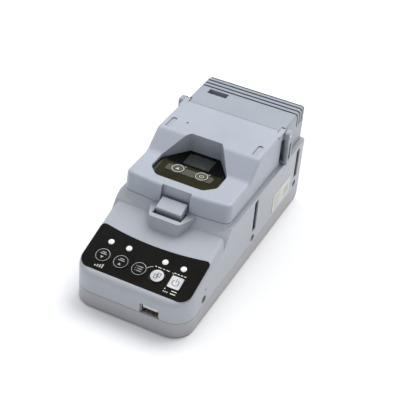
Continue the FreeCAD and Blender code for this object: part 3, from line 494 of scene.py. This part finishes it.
inks = {
    "grey": printedFilm("greyInk", (0.42, 0.42, 0.41), roughness=0.4),
    "pale": printedFilm("paleInk", (0.55, 0.555, 0.56), roughness=0.34),
    "dark": printedFilm("darkInk", (0.05, 0.05, 0.055), roughness=0.4),
    "cream": printedFilm("creamInk", (0.60, 0.61, 0.54), roughness=0.45),
    "band": printedFilm("blackBand", (0.004, 0.004, 0.004), roughness=0.22),
    "segment": printedFilm("displayInk", (0.03, 0.036, 0.03), roughness=0.3),
}

keyPrintLook = dict(ring=4.85 * mm, line=0.34 * mm, arrow=1.9 * mm, dash=0.55 * mm, arrowDrop=1.9 * mm,
                    longHalf=2.4 * mm, longRow=1.0 * mm, shortHalf=1.5 * mm, shortRow=2.3 * mm,
                    listRows=(-1.7, 0, 1.7), listLine=(-1.3, 2.5), listDot=(-2.6, -2.0))


def printKeys(look):
    middles = {node: keyAt(node) for node in ("key_down", "key_up", "key_report", "key_copy", "key_power")}
    thin = look["dash"]
    for node, body in (("key_down", "down_key"), ("key_up", "up_key"), ("key_report", "report_key")):
        u, v = middles[node]
        shapes = [ringShape(u, v, look["ring"], look["line"])]
        if node == "key_report":
            for row in look["listRows"]:
                level = v + row * mm
                for start, end in (look["listLine"], look["listDot"]):
                    shapes.append(barShape(u + start * mm, level, u + end * mm, level, thin))
        else:
            lean = -1 if node == "key_down" else 1
            shapes.append(arrowShape(u, v - look["arrowDrop"], look["arrow"], lean))
            for reach, row in ((look["longHalf"], look["longRow"]), (look["shortHalf"], look["shortRow"])):
                shapes.append(barShape(u - reach, v + row, u + reach, v + row, thin))
        printPanel(body + "Print", shapes, True, inks["grey"], body)
    return middles


keyMiddles = printKeys(keyPrintLook)

lightKeyLook = dict(disc=4.6 * mm, squareWidth=4.35 * mm, squareHeight=4.7 * mm, page=1.35 * mm, line=0.42 * mm,
                    symbol=2.3 * mm, sheetPlaces=((-0.7, -0.6), (0.9, 0.8)), tallness=1.25, symbolDrop=0.2 * mm,
                    arcEnds=(122, 418), stem=(0.2, 2.9))


def printLightKeys(look):
    u, v = keyMiddles["key_copy"]
    disc = patchShape(u, v, look["disc"], look["disc"], 2)
    printPanel("copyDisc", [disc], True, inks["pale"], "copy_key")
    page, line = look["page"], look["line"]
    tall = page * look["tallness"]
    sheets = [frameShape(u + shift * mm, v + lift * mm, (page, tall), (page - line, tall - line))
              for shift, lift in look["sheetPlaces"]]
    printPanel("copySign", sheets, True, inks["dark"], "copy_key", panelLook["printRise"])
    u, v = keyMiddles["key_power"]
    patch = patchShape(u, v, look["squareWidth"], look["squareHeight"], 12)
    printPanel("powerPatch", [patch], True, inks["pale"], "power_key")
    sign = [arcShape(u, v - look["symbolDrop"], look["symbol"], line, *look["arcEnds"])]
    stemFoot, stemTop = look["stem"]
    sign.append(barShape(u, v + stemFoot * mm, u, v + stemTop * mm, line))
    printPanel("powerSign", sign, True, inks["dark"], "power_key", panelLook["printRise"])


printLightKeys(lightKeyLook)

# Places are in mm from the middle of the key that the mark belongs to.
panelPrintLook = dict(lead=0.28 * mm, dash=0.6 * mm, leadLow=(4.6, 2.6), leadBend=(6.2, 4.6), leadStart=(6.0, 4.6),
                      leadEnd=(8.0, 5.6), crossStart=(8.2, 6.4), crossEnd=(-4.2, 5.2), copyRow=6.4,
                      copyMarks=((-4.6, 1.1), (-2.6, 2.6), (1.0, 1.6), (3.6, 2.4)), powerRow=6.6, powerHalf=0.8,
                      powerMarks=(-3.6, -1.2, 1.2, 3.6), dotRows=((1, -6.5), (3, -8.6)), dotStart=-4.6, dotPitch=1.3,
                      dot=0.4 * mm, noteEnds=(0.2, 4.0), steps=(1.1, 1.8, 2.5, 3.2), stepPitch=1.7, stepStart=-1.0,
                      stepFoot=-9.6, stepWidth=1.0 * mm)


# A lead line from the list key to the power key, small dashes and dots, and four rising steps.
def printFilm(look):
    report, copy, power, down = [np.array(keyMiddles[node]) / mm
                                 for node in ("key_report", "key_copy", "key_power", "key_down")]
    lead, dash = look["lead"], look["dash"]

    def bar(start, end, width):
        return barShape(start[0] * mm, start[1] * mm, end[0] * mm, end[1] * mm, width)

    shapes = [bar(report + look["leadLow"], report + look["leadBend"], lead)]
    shapes.append(bar(report + look["leadStart"], report + look["leadEnd"], lead))
    shapes.append(bar(copy + look["crossStart"], power + look["crossEnd"], lead))
    for place, length in look["copyMarks"]:
        start = copy + (place, look["copyRow"])
        shapes.append(bar(start, start + (length, 0), dash))
    for place in look["powerMarks"]:
        middle = power + (place, look["powerRow"])
        shapes.append(bar(middle - (look["powerHalf"], 0), middle + (look["powerHalf"], 0), dash))
    for dots, row in look["dotRows"]:
        for dot in range(dots):
            u, v = (power + (look["dotStart"] + dot * look["dotPitch"], row)) * mm
            shapes.append(patchShape(u, v, look["dot"], look["dot"], 2))
        noteStart, noteEnd = look["noteEnds"]
        shapes.append(bar(power + (noteStart, row), power + (noteEnd, row), dash))
    for step, length in enumerate(look["steps"]):
        foot = down + (step * look["stepPitch"] + look["stepStart"], look["stepFoot"])
        shapes.append(bar(foot, foot + (0, length), look["stepWidth"]))
    printPanel("panelPrint", shapes, False, inks["cream"], "station")


printFilm(panelPrintLook)

lampLook = dict(radius=1.95 * mm, height=0.42 * mm, seat=0.4 * mm, cap=2.1 * mm)


def buildLampDomes(look):
    low, high = boxOf("led_windows")
    row = (low[1] - frontFace + look["seat"] * sine) / cosine + look["cap"]
    grids = []
    for node in ("key_down", "key_up", "key_copy", "key_power"):
        centre = onPanel(keyMiddles[node][0], row, look["seat"])
        grids.append(spun(domeProfile(look["radius"], look["height"]), centre, (0, -sine, cosine), False))
    meshPiece("lampDomes", grids, finishes["led_window"], "station", smooth=True)


buildLampDomes(lampLook)
print("panel prints and lamp domes ready")

monitorPrintLook = dict(rise=0.03 * mm, sink=0.04 * mm, ring=4.25 * mm, line=0.42 * mm, strip=3.75 * mm,
                        side=1.0 * mm, cellHalf=10.1 * mm, cellDepth=7.0 * mm, arrow=2.2 * mm, power=1.5 * mm,
                        powerLine=0.36 * mm, powerDrop=0.1 * mm, powerEnds=(125, 415), stemTop=2.0 * mm,
                        tickMiddle=4.7 * mm, tickRow=1.4 * mm, tickLine=0.5 * mm, tickLength=1.1 * mm,
                        ticks=(-2.4, -0.6, 1.2, 3.0), scaleRow=2.2 * mm, scaleEnds=(2 * mm, 9 * mm),
                        barCount=5, barStart=2.2, barPitch=1.4, barEnds=(1.6 * mm, 3.4 * mm), barLine=0.7 * mm)


def flatPlace(u, v, n):
    return np.stack((u, v, n), axis=-1)


# The monitor's key signs, the black band round its display, the ticks above its keys and the display's marks.
def printMonitor(look):
    faceLow, faceHigh = boxOf("monitor_bezel")
    glassLow, glassHigh = boxOf("monitor_window")
    top = faceHigh[2]
    for node, body in (("monitor_key_left", "left_monitor_key"), ("monitor_key_right", "right_monitor_key")):
        low, high = boxOf(node)
        u, v = (low[0] + high[0]) / 2, (low[1] + high[1]) / 2
        shapes = [ringShape(u, v, look["ring"], look["line"])]
        if body.startswith("left"):
            shapes.append(arrowShape(u, v, look["arrow"], 1))
        else:
            line, drop = look["powerLine"], look["powerDrop"]
            shapes.append(arcShape(u, v - drop, look["power"], line, *look["powerEnds"]))
            shapes.append(barShape(u, v + drop, u, v + look["stemTop"], line))
        grids = [band(shape, flatPlace, high[2] - look["sink"], high[2] + look["rise"]) for shape in shapes]
        meshPiece(body + "Print", grids, inks["cream"], body)
    keyRow = v
    front, rear = keyRow + look["strip"], faceHigh[1] - look["side"]
    middleU, middleV = (glassLow[0] + glassHigh[0]) / 2, (glassLow[1] + glassHigh[1]) / 2
    outer = ((faceHigh[0] - faceLow[0]) / 2 - look["side"], rear - middleV)
    inner = (look["cellHalf"], look["cellDepth"])
    shape = frameShape(middleU, middleV, outer, inner, 18)
    shape[1][:, 1] += glassLow[1] + look["cellDepth"] - middleV
    shape[0][:, 1] = np.maximum(shape[0][:, 1], front)
    meshPiece("faceBand", [band(shape, flatPlace, top - look["sink"], top + look["rise"])], inks["band"], "station")
    ticks = []
    tickRow = front + look["tickRow"]
    for node in ("monitor_key_left", "monitor_key_right"):
        middle = boxOf(node)[0][0] + look["tickMiddle"]
        for step in look["ticks"]:
            start = middle + step * mm
            ticks.append(barShape(start, tickRow, start + look["tickLength"], tickRow, look["tickLine"]))
    grids = [band(shape, flatPlace, top - look["sink"], top + 2 * look["rise"]) for shape in ticks]
    meshPiece("monitorTicks", grids, inks["cream"], "station")
    cellLow, cellHigh = boxOf("monitor_screen")
    row = cellLow[1] + look["scaleRow"]
    scaleStart, scaleEnd = look["scaleEnds"]
    marks = [barShape(cellLow[0] + scaleStart, row, cellLow[0] + scaleEnd, row, look["tickLine"])]
    barLow, barHigh = look["barEnds"]
    for step in range(look["barCount"]):
        foot = cellHigh[0] - (look["barStart"] + step * look["barPitch"]) * mm
        marks.append(barShape(foot, cellLow[1] + barLow, foot, cellLow[1] + barHigh, look["barLine"]))
    grids = [band(shape, flatPlace, cellHigh[2] - look["sink"], cellHigh[2] + look["rise"]) for shape in marks]
    meshPiece("displayMarks", grids, inks["segment"], "station")


printMonitor(monitorPrintLook)

sensorLook = dict(rings=(1.6 * mm, 3.4 * mm, 5.2 * mm, 7.0 * mm), thick=0.28 * mm)


# Rounded ribs on the sensor cap: each is a circle r = R + s cos t, h = s sin t turned about the cap's axis.
def buildSensorRibs(look):
    low, high = boxOf("monitor_sensor")
    centre = ((low[0] + high[0]) / 2, (low[1] + high[1]) / 2, high[2])
    t = np.linspace(0, 2 * math.pi, 10, endpoint=False)
    grids = []
    for radius in look["rings"]:
        profile = np.stack((radius + look["thick"] * np.cos(t), look["thick"] * np.sin(t)), axis=1)
        grids.append(spun(profile, centre, (0, 0, 1), True))
    meshPiece("sensorRibs", grids, finishes["monitor_sensor"], "station", smooth=True)


buildSensorRibs(sensorLook)

labelLook = dict(rise=0.02 * mm, sink=0.04 * mm, margin=2.6 * mm, line=0.45 * mm, pitch=2.1 * mm, longest=15 * mm,
                 lineLengths=(0.82, 0.6, 0.74, 0.5, 0.68, 0.4), barWidths=(0.5, 0.3, 0.8, 0.3, 0.5, 0.9, 0.3, 0.6),
                 barGap=0.55, barFoot=3 * mm, barTop=10 * mm)


def sidePlace(u, v, n):
    return np.stack((n, u, v), axis=-1)


# Short lines at the front of the label and upright bars at its rear.
def printLabel(look):
    low, high = boxOf("side_label")
    face = high[0]
    shapes = []
    start = low[1] + look["margin"]
    for line, length in enumerate(look["lineLengths"]):
        v = high[2] - look["margin"] - line * look["pitch"]
        shapes.append(barShape(start, v, start + length * look["longest"], v, look["line"]))
    u = high[1] - look["margin"]
    for width in look["barWidths"]:
        middle = u - width * mm / 2
        shapes.append(barShape(middle, low[2] + look["barFoot"], middle, low[2] + look["barTop"], width * mm))
        u -= (width + look["barGap"]) * mm
    grids = [band(shape, sidePlace, face - look["sink"], face + look["rise"]) for shape in shapes]
    meshPiece("labelPrint", grids, printedFilm("labelInk", (0.36, 0.36, 0.34), roughness=0.5), "station")


printLabel(labelLook)

contactLook = dict(columns=(-3.5, -1.1, 1.1, 3.5), half=0.55 * mm, length=9.0 * mm, inset=0.5 * mm, drop=0.3 * mm,
                   seat=0.2 * mm, root=0.05 * mm, steps=24)


# Spring contacts under the tongue: each sags by drop (0.35 + 0.65 sin(pi min(2.2 s, 1))) along its length s.
def buildContacts(look):
    low, high = boxOf("usb_tongue")
    middle, underside = (low[0] + high[0]) / 2, (low[2] + high[2]) / 2 + look["seat"]
    steps = look["steps"]
    s = np.linspace(0, 1, steps)
    y = low[1] + look["inset"] + s * look["length"]
    sag = look["drop"] * (0.35 + 0.65 * np.sin(math.pi * np.minimum(s * 2.2, 1)))
    grids = []
    for column in look["columns"]:
        centre = middle + column * mm
        root = np.full(steps, underside + look["root"])
        edges = ((-look["half"], root), (look["half"], root), (look["half"], underside - sag),
                 (-look["half"], underside - sag))
        rings = [np.stack((np.full(steps, centre + u), y, level), axis=1) for u, level in edges]
        grids.append((np.stack(rings, axis=1), False))
    meshPiece("usbContacts", grids, workedMetal("contactGold", (0.8, 0.62, 0.25), stretch=(1, 1, 1)), "station")


buildContacts(contactLook)

barbLook = dict(tip=0.6 * mm, pitch=1.9 * mm, count=3, inner=2.9 * mm, rise=0.5 * mm)


# Hose barbs: a saw tooth (r falling towards the tip) turned about each spigot.
def buildBarbs(look):
    grids = []
    for node in ("gas_inlet", "gas_exhaust"):
        low, high = boxOf(node)
        centre = ((low[0] + high[0]) / 2, high[1], (low[2] + high[2]) / 2)
        for barb in range(look["count"]):
            end = -look["tip"] - barb * look["pitch"]
            start = end - look["pitch"] * 0.92
            profile = [(look["inner"], start), (look["inner"] + look["rise"], start),
                       (look["inner"] + look["rise"], start + 0.2 * mm), (look["inner"] + 0.12 * mm, end),
                       (look["inner"], end)]
            grids.append(spun(profile, centre, (0, 1, 0), True))
    meshPiece("hoseBarbs", grids, finishes["fitting_brass"], "station")


buildBarbs(barbLook)

pinHeadLook = dict(radius=1.38 * mm, height=0.19 * mm)


def buildPinHeads(look):
    low, high = boxOf("hinge_pins")
    middle = ((low[1] + high[1]) / 2, (low[2] + high[2]) / 2)
    grids = []
    for x, way in ((low[0], -1), (high[0], 1)):
        grids.append(spun(domeProfile(look["radius"], look["height"]), (x, *middle), (way, 0, 0), False))
    meshPiece("pinHeads", grids, finishes["pin_steel"], "station", smooth=True)


buildPinHeads(pinHeadLook)
print("monitor, label, port and hinge details ready")
